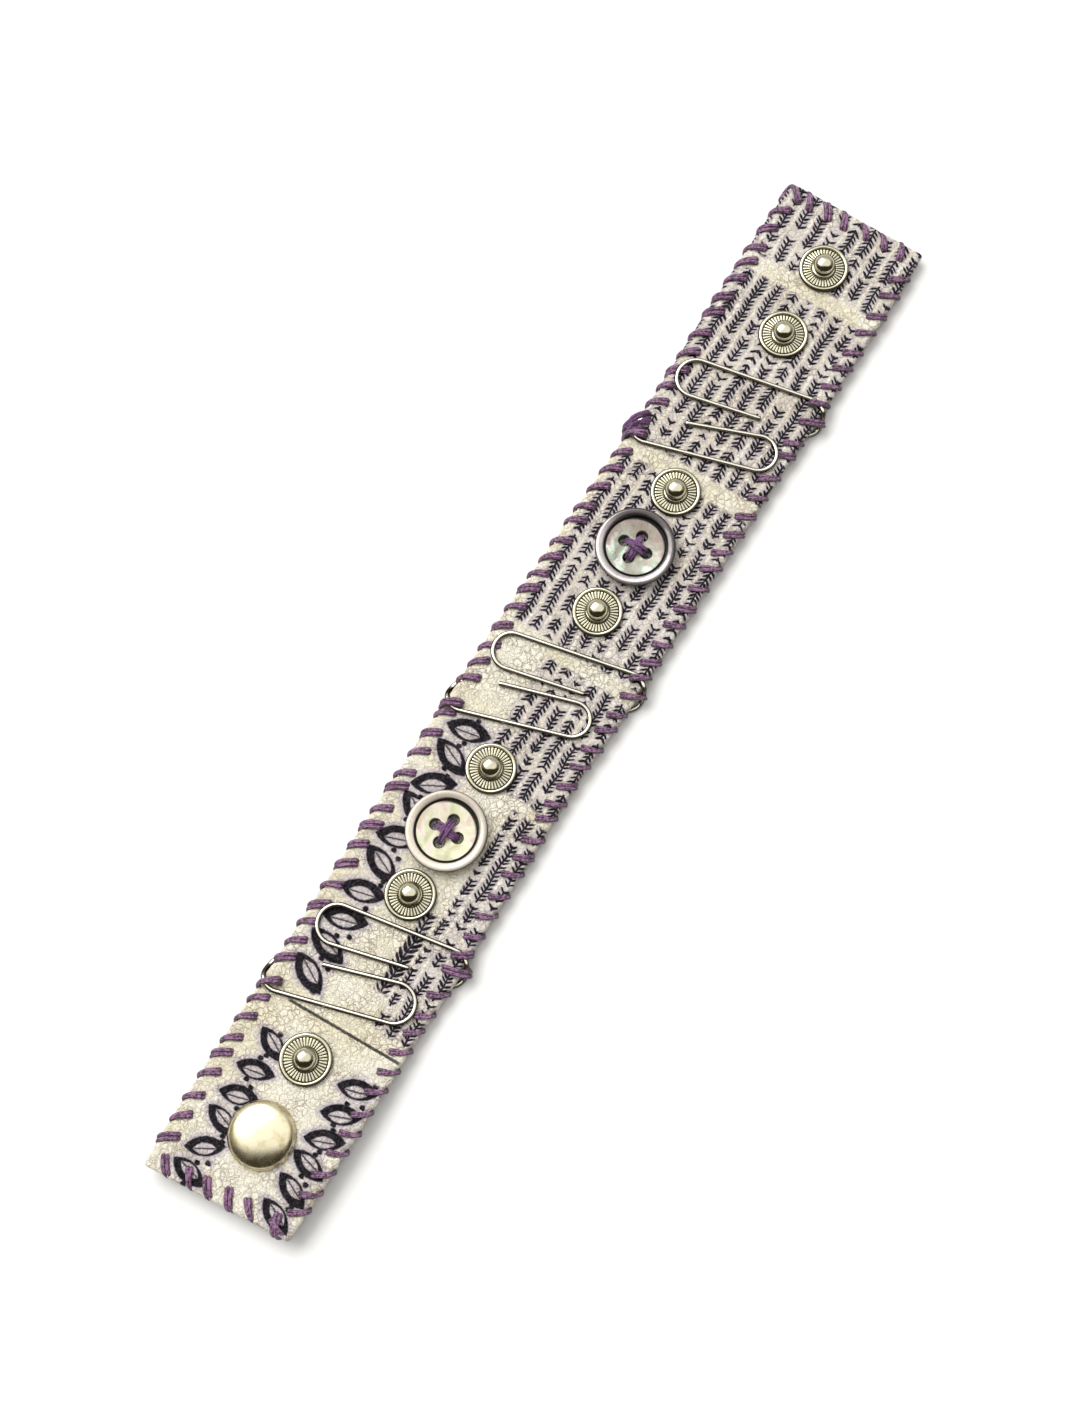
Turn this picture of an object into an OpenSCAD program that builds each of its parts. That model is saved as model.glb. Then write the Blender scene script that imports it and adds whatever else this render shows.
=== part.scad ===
// Snap bracelet of pale leather, lying open and flat.
// The strap lies along X with its capped end at -X, and rests on the backs of its fasteners at z = 0.
// All sizes are millimetres.

/* [Strap] */
// Length of the strap from end to end
strap_len = 224; // [222:0.5:227]
// Thickness of the leather
leather_t = 1.8; // [1.4:0.1:2.2]
// Height of the leather's underside above the surface that the bracelet lies on
under_z = 1.05; // [1.05:0.05:1.3]
// Extra height of the capped end, which lies on its thick socket
end_lift = 1.85; // [1.7:0.05:2]
// Distance between two whip stitches along the edge
stitch_pitch = 4.23; // [3.8:0.01:4.6]
// How far a stitch draws the edge of the leather in
pucker = 0.22; // [0:0.02:0.3]
// Depth of the rounding on the cut edges of the leather
edge_round = 0.6; // [0.3:0.1:0.6]

/* [Press studs] */
// Outer diameter of a stud's flange
stud_d = 9.7; // [9:0.1:10]
// Diameter of the ball that snaps into the socket
ball_d = 4.7; // [4.4:0.1:4.7]
// Height of a stud above the leather
stud_h = 3.8; // [3.6:0.1:4.2]
// Diameter of the plain back under each stud
back_d = 8.6; // [8:0.1:9]
// Diameter of the post between a back and its stud
post_d = 3.0; // [2.6:0.1:3]

/* [Snap cap and socket] */
// Diameter of the smooth cap
cap_d = 12.4; // [12:0.1:12.8]
// Height of the cap above the leather
cap_h = 2.6; // [2.4:0.1:3]
// Outer diameter of the socket
socket_d = 10.4; // [10:0.1:11]
// Diameter of the socket's mouth
mouth_d = 4.8; // [4.8:0.05:4.9]

/* [Buttons] */
// Diameter of both buttons
button_d = 15.3; // [15:0.1:15.5]
// Thickness of a button at its rim
button_t = 2.6; // [2.4:0.1:3]
// Diameter of a thread hole
eye_d = 2.0; // [1.6:0.1:2]
// Distance of a thread hole from the middle
eye_place = 2.4; // [2.3:0.1:2.6]

/* [Paper clips] */
// Diameter of the clip wire
wire_d = 0.9; // [0.8:0.05:0.9]

/* [Hidden] */

leather_colour = "#e4dac0";
nickel_colour = "#cfc8b4";
steel_colour = "#c9c9c6";
grey_pearl_colour = "#8f8c94";
pale_pearl_colour = "#cdbfb0";

// Gap between metal or shell and the leather that it lies on
gap = 0.05;
// Round pieces turn with this many steps
fine = 48;

// Places of the fasteners on the strap, each [x, y]
cap_place = [-96.45, -0.83];
stud_places = [
    [-81.32, 0], [-46.44, 0.69], [-18.84, 0.95], [17.06, 0.28],
    [44.93, 0.28], [83.21, -0.51], [99.16, -0.04]
];
button_pale_place = [-33.16, 1.35];
button_grey_place = [31.30, 0.82];

// Outline of the leather without its thread
X = 0;
UPPER = 1;
LOWER = 2;
edge_rows = [
    [-112, 14.0, -15.0], [-109, 14.5, -15.3], [-99, 14.9, -15.4], [-85, 15.0, -15.3],
    [-74, 15.1, -15.1], [-65, 15.3, -14.9], [-56, 15.5, -15.2], [-47, 15.5, -14.7],
    [-34, 15.6, -14.6], [-20, 15.6, -14.2], [-12, 15.5, -14.1], [0, 15.6, -14.7],
    [8, 15.5, -15.0], [16, 15.3, -14.8], [31, 15.0, -14.9], [45, 14.8, -15.0],
    [55, 14.5, -15.0], [61, 14.4, -15.0], [72, 14.8, -15.4], [80, 15.0, -15.3],
    [100, 15.1, -15.4], [110, 14.9, -15.2], [112, 14.6, -15.0]
];
function column(rows, value) = [for (row = rows) [row[X], row[value]]];
upper_rows = column(edge_rows, UPPER);
lower_rows = column(edge_rows, LOWER);

// The capped end is cut on a slant, which fades out along the strap
end_slant = -0.097;
cap_end = -strap_len / 2 - end_slant * edge_rows[0][UPPER];
slant_fades = [cap_end, -85];

// The capped end is lifted, and comes down between these places
lift_from = -91;
lift_to = -60;

function ease(t) = let (s = min(1, max(0, t))) s * s * (3 - 2 * s);
function lift(x) = end_lift * (1 - ease((x - lift_from) / (lift_to - lift_from)));
function face(x) = under_z + leather_t + lift(x);
function slope(x) = atan((lift(x - 1) - lift(x + 1)) / 2);

// Drawn-in edge between two stitches, and the two edges out of step with each other
function drawn(x, shift) = pucker * (1 + cos(360 * (x / stitch_pitch + shift))) / 2;
function upper(x) = lookup(x, upper_rows) - drawn(x, 0);
function lower(x) = lookup(x, lower_rows) + drawn(x, 0.35);
function slanted(x, y) =
    x + end_slant * y * (1 - ease((x - slant_fades[0]) / (slant_fades[1] - slant_fades[0])));

// Half of a rounded edge, each [inset from the edge, height as a share of the thickness]
edge_section = [[0.6, 0], [0.15, 0.14], [0, 0.4], [0, 0.6], [0.15, 0.86], [0.6, 1]];

function strap_ring(x, inset) =
    let (
        top = upper(x) - inset,
        bottom = lower(x) + inset,
        thick = leather_t - 2 * inset,
        base = face(x) - leather_t + inset,
        round = edge_round / 0.6
    )
    concat(
        [for (p = edge_section) [slanted(x, top), top - p[0] * round, base + p[1] * thick]],
        [for (i = [len(edge_section) - 1:-1:0]) let (p = edge_section[i])
            [slanted(x, bottom), bottom + p[0] * round, base + p[1] * thick]]
    );

// Faces of a tube of rings, all with the same number of points, closed at both ends
function tube_faces(rings, sides) = concat(
    [[for (i = [0:sides - 1]) i]],
    [for (r = [0:rings - 2], i = [0:sides - 1], half = [0, 1])
        let (
            a = r * sides + i,
            b = r * sides + (i + 1) % sides
        )
        half == 0 ? [a, b + sides, b] : [a, a + sides, b + sides]],
    [[for (i = [sides - 1:-1:0]) (rings - 1) * sides + i]]
);

module tube(rings) {
    polyhedron(
        points = [for (ring = rings) each ring],
        faces = tube_faces(len(rings), len(rings[0]))
    );
}

// Puts a piece on the leather's face, tilted with it
module on_strap(place) {
    translate([place[0], place[1], face(place[0])])
        rotate([0, slope(place[0]), 0])
            children();
}

module strap_hole(place, diameter) {
    on_strap(place)
        translate([0, 0, -leather_t - 1])
            cylinder(d = diameter, h = leather_t + 2, $fn = fine);
}

module at_eyes() {
    for (turn = [0:90:270])
        rotate([0, 0, turn])
            translate([eye_place, 0, 0])
                children();
}

// Leather strap with its rounded, drawn-in edges and the holes that its fasteners go through
module strap() {
    stud_end = strap_len / 2;
    steps = 2 * round(strap_len / stitch_pitch);
    end_inset = 0.3;
    first = cap_end + end_inset;
    last = stud_end - end_inset;
    inner = [for (i = [0:steps]) strap_ring(first + (last - first) * i / steps, 0)];
    color(leather_colour)
        difference() {
            tube(concat([strap_ring(cap_end, end_inset)], inner, [strap_ring(stud_end, end_inset)]));
            for (place = stud_places)
                strap_hole(place, post_d + 0.2);
            strap_hole(cap_place, post_d + 0.2);
            for (place = [button_grey_place, button_pale_place])
                on_strap(place)
                    translate([0, 0, -leather_t - 1])
                        at_eyes()
                            cylinder(d = 1.2, h = leather_t + 2, $fn = fine);
        }
}

// Quarter of an ellipse from its widest point to its top, as [radius, height] points
function dome(radius, rise, base) = [for (a = [0:11.25:90]) [radius * cos(a), base + rise * sin(a)]];

// Stud with a rolled rim, a sloping plate, a waist and the ball on it, hollow for the post
module press_stud(place) {
    rim = stud_d / 2;
    ball = ball_d / 2;
    rim_h = 0.95;
    plate_h = 0.6;
    waist_z = 1.25;
    belt_z = [1.75, 2.3];
    color(nickel_colour)
        on_strap(place)
            difference() {
                rotate_extrude($fn = fine)
                    polygon(concat(
                        [
                            [0, gap], [rim - 0.3, gap], [rim, gap + 0.3], [rim, rim_h - 0.3],
                            [rim - 0.15, rim_h - 0.06], [rim - 0.3, rim_h], [rim - 0.45, rim_h - 0.1],
                            [rim - 0.6, plate_h - 0.1], [rim - 0.75, plate_h - 0.05],
                            [ball + 0.2, plate_h + 0.2], [ball - 0.25, plate_h + 0.3],
                            [ball - 0.45, waist_z], [ball, belt_z[0]]
                        ],
                        dome(ball, stud_h - belt_z[1], belt_z[1])
                    ));
                translate([0, 0, -1])
                    cylinder(d = post_d + 0.2, h = 2.3, $fn = fine);
            }
}

// Plain back with a low dome, and the post that goes up through the strap into the stud
module stud_back(place) {
    back_t = under_z - gap;
    post_top = 1.2;
    color(nickel_colour)
        on_strap(place)
            translate([0, 0, -leather_t]) {
                rotate_extrude($fn = fine)
                    polygon([
                        [0, -gap], [back_d / 2 - 0.1, -gap], [back_d / 2, -gap - 0.15],
                        [back_d / 2 - 0.5, -gap - 0.6], [back_d / 2 - 1.5, -gap - back_t],
                        [0, -gap - back_t]
                    ]);
                translate([0, 0, -0.3])
                    cylinder(d = post_d, h = leather_t + post_top + 0.3, $fn = fine);
            }
}

// Smooth domed cap with a rolled edge, and the post under it
module snap_cap() {
    edge = cap_d / 2;
    edge_h = 0.85;
    post_reach = leather_t + 0.65;
    color(nickel_colour)
        on_strap(cap_place) {
            rotate_extrude($fn = fine)
                polygon(concat(
                    [[0, gap], [edge - 0.45, gap], [edge - 0.1, 0.2], [edge, 0.45]],
                    dome(edge - 0.05, cap_h - edge_h, edge_h)
                ));
            translate([0, 0, -post_reach])
                cylinder(d = post_d, h = post_reach + 0.3, $fn = fine);
        }
}

// Socket under the strap, open downwards for a stud's ball
module snap_socket() {
    socket_t = under_z + end_lift - gap;
    outer = socket_d / 2;
    top_t = 0.7;
    color(nickel_colour)
        on_strap(cap_place)
            translate([0, 0, -leather_t - gap - socket_t])
                difference() {
                    rotate_extrude($fn = fine)
                        polygon([
                            [0, 0], [outer - 1.2, 0], [outer - 0.8, 0.3], [outer - 0.6, socket_t - 1.1],
                            [outer, socket_t - 0.7], [outer, socket_t - 0.2], [outer - 0.2, socket_t],
                            [0, socket_t]
                        ]);
                    translate([0, 0, -1])
                        cylinder(d = mouth_d, h = socket_t - top_t + 1, $fn = fine);
                    cylinder(d = post_d + 0.2, h = socket_t + 1, $fn = fine);
                }
}

// Four-hole button with a raised rounded rim, a groove inside it and a shallow dish
module button(place) {
    edge = button_d / 2;
    rim = 0.78;
    on_strap(place)
        difference() {
            rotate_extrude($fn = fine)
                polygon([
                    [0, gap], [edge - 2.2, gap], [edge - 0.8, 0.45], [edge - 0.15, 1.1], [edge, 1.65],
                    [edge - 0.12, 2.15], [edge - 0.4, button_t - 0.12], [edge - rim, button_t],
                    [edge - 1.2, button_t - 0.12], [edge - 1.55, button_t - 0.45],
                    [edge - 1.75, 1.7], [edge - 1.9, 1.7], [edge - 2.1, 1.95], [edge - 3.3, 1.8],
                    [edge - 5.5, 1.65], [0, 1.6]
                ]);
            translate([0, 0, -1])
                at_eyes()
                    cylinder(d = eye_d, h = button_t + 2, $fn = fine);
        }
}

module button_grey() {
    color(grey_pearl_colour)
        button(button_grey_place);
}

module button_pale() {
    color(pale_pearl_colour)
        button(button_pale_place);
}

// Bends of each clip in the order of the wire: [x, y, radius], where the wire turns clockwise round
// a negative radius and a radius of 0 is an end of the wire. Bends 2 and 3 hook round the strap's edges.
FIRST_HOOK = 2;
LAST_HOOK = 3;
clip_bends = [
    [
        [-57.75, -6.4, 0], [-58.15, 9.0, -3.7], [-53.7, -13.1, -3.3],
        [-71.0, 13.1, 3.3], [-64.35, -7.8, 3.7], [-65.55, 7.1, 0]
    ],
    [
        [2.2, -6.0, 0], [2.05, 9.9, -3.5], [7.1, -12.9, -3.4],
        [-9.65, 13.2, 3.2], [-3.0, -6.8, 3.35], [-4.35, 8.4, 0]
    ],
    [
        [66.05, -5.6, 0], [66.65, 9.0, -3.8], [71.4, -13.1, -3.3],
        [53.6, 12.9, 3.3], [59.85, -9.0, 3.5], [57.85, 5.9, 0]
    ]
];

// Direction of the straight wire from one bend to the next, tangent to both
function heading(a, b) =
    let (
        across = b[0] - a[0],
        along = b[1] - a[1]
    )
    atan2(along, across) - asin((b[2] - a[2]) / norm([across, along]));

function on_bend(bend, dir) = [bend[0] + bend[2] * sin(dir), bend[1] - bend[2] * cos(dir)];

// Turn from one heading to the next, the way that the bend goes round
function turned(bend, from, to) =
    let (whole = (to - from) % 360)
    bend[2] > 0 ? (whole < 0 ? whole + 360 : whole) : (whole > 0 ? whole - 360 : whole);

// Middle height of the wire over the leather's face and under its back
function wire_over(x) = face(x) + gap + wire_d / 2;
function wire_under(x) = face(x) - leather_t - gap - wire_d / 2;

// Share of the way from the face to the back: 0 over the strap, 1 under it
hook_span = 56;
function depth(bend, turn, sweep) =
    let (passed = ease(0.5 + (abs(turn) - abs(sweep) / 2) / hook_span))
    bend == FIRST_HOOK ? passed : bend == LAST_HOOK ? 1 - passed : 0;

function wire_point(p, share) = [p[0], p[1], wire_over(p[0]) * (1 - share) + wire_under(p[0]) * share];

// Stations of the leg behind the strap, which follows the strap's lifted end
function hidden_leg(from, to) = [for (t = [0.2:0.2:0.8]) wire_point(from + t * (to - from), 1)];

function clip_path(bends) =
    let (
        legs = [for (i = [0:4]) heading(bends[i], bends[i + 1])]
    )
    [
        wire_point(bends[0], 0),
        for (i = [1:4])
            let (
                sweep = turned(bends[i], legs[i - 1], legs[i]),
                hooked = i == FIRST_HOOK || i == LAST_HOOK,
                steps = hooked ? 18 : 13
            )
            each concat(
                [for (s = [0:steps])
                    let (turn = sweep * s / steps)
                    wire_point(on_bend(bends[i], legs[i - 1] + turn), depth(i, turn, sweep))],
                i == FIRST_HOOK ? hidden_leg(on_bend(bends[i], legs[i]), on_bend(bends[i + 1], legs[i])) : []
            ),
        wire_point(bends[5], 0)
    ];

// Ring of points square to the wire at one place of its path
wire_sides = 8;
function wire_ring(path, i) =
    let (
        ahead = path[min(i + 1, len(path) - 1)] - path[max(i - 1, 0)],
        along = ahead / norm(ahead),
        flat = cross([0, 0, 1], along),
        side = flat / norm(flat),
        up = cross(along, side)
    )
    [for (k = [0:wire_sides - 1]) let (turn = 360 * (k + 0.5) / wire_sides)
        path[i] + wire_d / 2 * (cos(turn) * side + sin(turn) * up)];

// Round wire bent flat into two loops on the face, hooked over both long edges of the strap
module paper_clip(bends) {
    path = clip_path(bends);
    color(steel_colour)
        tube([for (i = [0:len(path) - 1]) wire_ring(path, i)]);
}

strap();
snap_cap();
snap_socket();
button_grey();
button_pale();
for (i = [1:3]) paper_clip(clip_bends[i - 1]);
for (i = [1:7]) press_stud(stud_places[i - 1]);
for (i = [1:7]) stud_back(stud_places[i - 1]);
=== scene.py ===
"""Leather snap bracelet lying open: the finish of every piece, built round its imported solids."""

import math
import random

import bpy
import numpy as np
from mathutils import Matrix, Vector, noise


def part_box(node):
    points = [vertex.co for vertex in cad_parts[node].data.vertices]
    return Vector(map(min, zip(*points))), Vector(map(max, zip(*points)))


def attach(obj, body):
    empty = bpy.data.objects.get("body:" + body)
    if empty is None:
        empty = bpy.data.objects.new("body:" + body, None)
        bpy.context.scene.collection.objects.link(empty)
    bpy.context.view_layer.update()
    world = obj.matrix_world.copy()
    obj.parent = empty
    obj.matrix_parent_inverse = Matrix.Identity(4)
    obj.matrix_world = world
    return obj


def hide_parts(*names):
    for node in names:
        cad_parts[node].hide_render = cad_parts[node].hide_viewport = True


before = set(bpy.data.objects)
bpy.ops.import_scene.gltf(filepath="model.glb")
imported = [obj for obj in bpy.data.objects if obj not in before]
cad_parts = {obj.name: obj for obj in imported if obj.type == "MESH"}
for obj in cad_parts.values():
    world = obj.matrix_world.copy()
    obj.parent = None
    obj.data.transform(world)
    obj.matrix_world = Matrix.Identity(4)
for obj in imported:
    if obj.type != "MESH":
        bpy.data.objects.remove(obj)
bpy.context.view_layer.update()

# Strap
# One long piece of pale grained leather, printed on its face and left plain on its back.
# Its cut edges are rounded, and every whip stitch draws the edge in and presses a dent into it.

mm = 0.001
leather_t = 1.8
edge_turn = 0.6
# How far the thread draws the edge in and presses the face down, and how far the face puffs up
# between two stitches
draw_in, dent_depth, edge_puff = 0.45, 0.36, 0.16
dent_width, hole_width, rim_width = 0.75, 0.9, 1.3
hole_inset, stitch_lean = 2.9, 2.0
# How far the rounded short ends stand out and draw in at their corners, and the share by which they thin
end_bulge, end_narrowing, end_thinning = 0.35, 0.3, 0.55
# Slow unevenness as [height, size]: the broad and fine swells of the face, and the waver of its edges
broad_swell, fine_swell, edge_waver = (0.09, 9), (0.05, 3.2), (0.07, 1.3)
# Share of the face's relief that shows on the back
back_share = 0.35
# The third clip pulls the upper edge in where the thread is knotted over its hook
knot_x, knot_pull, knot_width = 53.2, 0.8, 2.4


def outline_of(node):
    """Both long edges and the face's height along a flat node, in millimetres, read from its solid."""
    corners = np.array([v.co for v in node.data.vertices]) / mm
    edges = []
    for side in (1, -1):
        near = corners[corners[:, 1] * side > 8]
        places = np.unique(np.round(near[:, 0], 2))
        reach = np.array([side * (side * near[np.abs(near[:, 0] - x) < 0.02, 1]).max() for x in places])
        top = np.array([near[np.abs(near[:, 0] - x) < 0.02, 2].max() for x in places])
        # The end rings are inset for the rounded ends, and the edge's own puckers are evened out
        places, reach, top = places[1:-1], reach[1:-1], top[1:-1]
        padded = np.concatenate([reach[:1], reach, reach[-1:]])
        even = (padded[:-2] + 2 * padded[1:-1] + padded[2:]) / 4
        edges.append((places, even, top))
    return edges


upper_edge, lower_edge = outline_of(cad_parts["strap"])


def face_height(x):
    return np.interp(x, upper_edge[0], upper_edge[2])


def face_tilt(x):
    return math.atan(float(face_height(x - 1) - face_height(x + 1)) / 2)


def edge_at(edge, x):
    return np.interp(x, edge[0], edge[1])


# Places of the hand-sewn stitches along the long edges, and across the ends as (place, extra turn)
upper_stitches = (
    -105.8, -101.7, -97.4, -92.6, -88.5, -85.4, -80.9, -76.8, -73.6, -68.3, -64.6, -60.4, -56.9, -52.4,
    -48.0, -43.8, -39.4, -35.8, -30.9, -27.9, -23.2, -18.9, -14.4, -12.2, -6.3, -2.9, 0.9, 5.4, 10.0,
    14.2, 17.8, 21.5, 25.6, 30.5, 33.7, 38.2, 42.6, 46.4, 50.9, 58.9, 62.8, 66.5, 70.5, 75.1, 80.3, 84.1,
    88.6, 92.6, 96.3, 100.9, 105.5,
)
lower_stitches = (
    -103.9, -100.3, -96.1, -92.0, -88.1, -83.8, -79.3, -75.3, -71.1, -66.8, -63.4, -58.9, -53.8, -50.5,
    -46.7, -42.3, -38.1, -33.4, -29.7, -26.1, -21.3, -18.2, -14.1, -9.8, -6.0, -1.3, 2.1, 6.9, 10.5, 14.2,
    18.0, 22.4, 26.3, 30.9, 35.7, 39.6, 43.8, 48.0, 52.3, 56.9, 62.3, 65.3, 70.9, 74.4, 78.9, 83.4, 87.2,
    92.1, 96.1, 101.0, 105.2,
)
cap_end_stitches = (
    (-12.9, 0.75), (-11.3, -0.35), (-6.5, 0.05), (-2.1, -0.05), (2.0, 0.1), (5.8, -0.05), (10.5, 0.1),
)
stud_end_stitches = (
    (13.3, 0.3), (9.6, 0.0), (5.6, 0.1), (1.6, -0.1), (-2.6, 0.05), (-6.8, 0.0), (-11.2, -0.15),
)
# Stitches that cross a clip's wire on the face, and stitches that go round its loop outside the edge
plain, over_wire, round_loop = range(3)
special_stitches = {
    (-73.6, 1): over_wire, (-12.2, 1): over_wire, (50.9, 1): over_wire, (-50.5, -1): over_wire,
    (10.5, -1): over_wire, (74.4, -1): over_wire,
    (-53.8, -1): round_loop, (6.9, -1): round_loop, (70.9, -1): round_loop,
}

# Each stitch is [x, y, heading of the edge, tilt of the face, kind], with the strap on the heading's right
stitch_places = []
for side, edge, places in ((1, upper_edge, upper_stitches), (-1, lower_edge, lower_stitches)):
    for x in places:
        slope = math.atan(float(edge_at(edge, x + 1) - edge_at(edge, x - 1)) / 2)
        heading = slope if side > 0 else math.pi + slope
        kind = special_stitches.get((x, side), plain)
        stitch_places.append([x, float(edge_at(edge, x)), heading, side * face_tilt(x), kind])
(low_x, low_y), (high_x, high_y) = [(edge[0][0], edge[1][0]) for edge in (lower_edge, upper_edge)]
cap_heading = math.atan2(high_y - low_y, high_x - low_x)
for y, extra in cap_end_stitches:
    share = (y - low_y) / (high_y - low_y)
    stitch_places.append([low_x + share * (high_x - low_x), y, cap_heading + extra, 0.0, plain])
for y, extra in stud_end_stitches:
    stitch_places.append([lower_edge[0][-1], y, -math.pi / 2 + extra, 0.0, plain])


def stitch_line(place):
    """The hole and the edge crossing of one stitch on the face."""
    x, y, heading = place[:3]
    along = np.array([math.cos(heading), math.sin(heading)])
    outward = np.array([-along[1], along[0]])
    middle = np.array([x, y])
    return middle + along * stitch_lean / 2 - outward * hole_inset, middle - along * stitch_lean / 2


def pressed(x, y):
    """How deep the thread presses the face in at each point, from 0 to 1."""
    deepest = np.zeros_like(x)
    reach = 6
    for place in stitch_places:
        near = (np.abs(x - place[0]) < reach) & (np.abs(y - place[1]) < reach)
        hole, rim = stitch_line(place)
        run = rim - hole
        px, py = x[near] - hole[0], y[near] - hole[1]
        share = np.clip((px * run[0] + py * run[1]) / (run @ run), 0, 1)
        away = np.hypot(px - share * run[0], py - share * run[1])
        dent = np.exp(-((away / dent_width) ** 2)) * (0.45 + 0.55 * share)
        dent = np.maximum(dent, 0.9 * np.exp(-((np.hypot(px, py) / hole_width) ** 2)))
        deepest[near] = np.maximum(deepest[near], dent)
    return deepest


def wander(x, y, height, size):
    """A slow unevenness of the leather, up to about the given height either way."""
    layer, full_swing = 3.7, 1.6
    flat = [noise.noise(Vector((a / size, b / size, layer))) for a, b in zip(x.ravel(), y.ravel())]
    return np.array(flat).reshape(x.shape) * full_swing * height


def mesh_of(name, points, faces, **columns):
    """A smooth mesh from points in metres. Each column holds one named value for every point."""
    mesh = bpy.data.meshes.new(name)
    mesh.from_pydata(points, [], faces)
    for column, values in columns.items():
        mesh.attributes.new(column, "FLOAT", "POINT").data.foreach_set("value", values)
    mesh.polygons.foreach_set("use_smooth", [True] * len(mesh.polygons))
    return mesh


def ring_faces(rings, sides):
    """Faces between rings of points, and a flat cap over the first and the last ring."""
    faces = []
    for ring in range(rings - 1):
        for side in range(sides):
            a, b = ring * sides + side, ring * sides + (side + 1) % sides
            faces.append((a, a + sides, b + sides, b))
    last = (rings - 1) * sides
    return [*faces, tuple(range(sides)), tuple(reversed(range(last, last + sides)))]


def strap_mesh():
    lengthways, face_columns, back_columns, turn_steps = 560, 66, 44, 5
    stations = np.concatenate([np.zeros(3), np.linspace(0, 1, lengthways), np.ones(3)])
    rounding = np.concatenate([[1, 0.62, 0.25], np.zeros(lengthways), [0.25, 0.62, 1]])
    overhang = np.concatenate([[1, 0.75, 0.35], np.zeros(lengthways), [-0.35, -0.75, -1]])
    turn = np.radians(np.linspace(90, -90, turn_steps + 2)[1:-1])
    across = np.concatenate([
        np.linspace(-1, 1, face_columns), np.ones(turn_steps),
        np.linspace(1, -1, back_columns), -np.ones(turn_steps),
    ])
    proud = np.concatenate([np.zeros(face_columns), np.cos(turn), np.zeros(back_columns), -np.cos(turn)])
    height = np.concatenate([np.ones(face_columns), np.sin(turn), -np.ones(back_columns), -np.sin(turn)])
    upper_x, lower_x = [
        edge[0][0] + stations * (edge[0][-1] - edge[0][0]) for edge in (upper_edge, lower_edge)
    ]
    upper_y, lower_y = edge_at(upper_edge, upper_x), edge_at(lower_edge, lower_x)
    middle, half = (upper_y + lower_y) / 2, (upper_y - lower_y) / 2
    share = (across[None, :] + 1) / 2
    x = lower_x[:, None] * (1 - share) + upper_x[:, None] * share - end_bulge * overhang[:, None]
    reach = half[:, None] - edge_turn - end_narrowing * rounding[:, None]
    y = middle[:, None] + across[None, :] * reach + edge_turn * proud[None, :]
    press = pressed(x, y)
    edge_gap = np.minimum(upper_y[:, None] - y, y - lower_y[:, None])
    rim = np.exp(-((edge_gap / rim_width) ** 2))
    y = y - np.sign(y) * draw_in * rim * press + wander(x, y, *edge_waver) * rim
    y = y - knot_pull * (y > 0) * rim * np.exp(-(((x - knot_x) / knot_width) ** 2))
    swell = wander(x, y, *broad_swell) + wander(x, y, *fine_swell)
    face_rise = -dent_depth * press + edge_puff * rim * (1 - press) + swell
    thick = leather_t / 2 * (1 - end_thinning * rounding[:, None])
    centre = face_height(x) - leather_t / 2
    relief = np.where(height > 0, 1.0, back_share)[None, :] * face_rise * np.abs(height)
    z = centre + height[None, :] * thick + relief
    rows, columns = x.shape
    points = np.stack([x, y, z], axis=-1).reshape(-1, 3) * mm
    printed = np.tile(np.clip(height * 1.6 + 0.2, 0, 1), rows).astype(np.float32)
    return mesh_of("strap_leather", points.tolist(), ring_faces(rows, columns), printed=printed)


class Flow:
    """A value on its way through a node tree. Each sum or product with it adds the node for that step."""

    def __init__(self, tree, socket):
        self.tree = tree
        self.socket = socket

    def step(self, operation, *others):
        return put(self.tree, "ShaderNodeMath", dict(enumerate((self, *others))), operation=operation)

    def __add__(self, other):
        return self.step("ADD", other)

    def __sub__(self, other):
        return self.step("SUBTRACT", other)

    def __rsub__(self, other):
        return put(self.tree, "ShaderNodeMath", {0: other, 1: self}, operation="SUBTRACT")

    def __mul__(self, other):
        return self.step("MULTIPLY", other)

    def __truediv__(self, other):
        return self.step("DIVIDE", other)

    def __abs__(self):
        return self.step("ABSOLUTE")

    def parts(self):
        """The three parts of a place, a direction or a colour."""
        split = add_node(self.tree, "ShaderNodeSeparateXYZ", {0: self})
        return [Flow(self.tree, part) for part in split.outputs]


def add_node(tree, kind, inputs=None, **settings):
    """Adds a node with its settings. Each input is a plain value or a value from another node."""
    node = tree.nodes.new(kind)
    for name, value in settings.items():
        setattr(node, name, value)
    for name, value in (inputs or {}).items():
        if isinstance(value, Flow):
            tree.links.new(value.socket, node.inputs[name])
        else:
            node.inputs[name].default_value = value
    return node


def put(tree, kind, inputs=None, take=0, **settings):
    """Adds a node and takes one of the values that it puts out."""
    return Flow(tree, add_node(tree, kind, inputs, **settings).outputs[take])


def feed(sockets, **values):
    """Links values to the named sockets of a shader or of a group's output."""
    for name, value in values.items():
        value.tree.links.new(value.socket, sockets[name.replace("_", " ")])


def largest(first, *others):
    for other in others:
        first = first.step("MAXIMUM", other)
    return first


def smallest(first, *others):
    for other in others:
        first = first.step("MINIMUM", other)
    return first


def length_of(x, y):
    return (x * x + y * y).step("SQRT")


def ramp(value, low, high, out_low=0.0, out_high=1.0):
    """Eases from one value to another as the input goes from low to high."""
    inputs = {"Value": value, "From Min": low, "From Max": high, "To Min": out_low, "To Max": out_high}
    return put(value.tree, "ShaderNodeMapRange", inputs, interpolation_type="SMOOTHSTEP")


def inside(value, low, high, soft):
    """1 between two limits and 0 outside them, with soft borders."""
    return ramp(value, low - soft, low + soft) * ramp(value, high - soft, high + soft, 1.0, 0.0)


def mixed(factor, first, second):
    return put(factor.tree, "ShaderNodeMix", {0: factor, 6: first, 7: second}, 2, data_type="RGBA")


def joined(tree, x, y, z):
    return put(tree, "ShaderNodeCombineXYZ", {"X": x, "Y": y, "Z": z})


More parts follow.
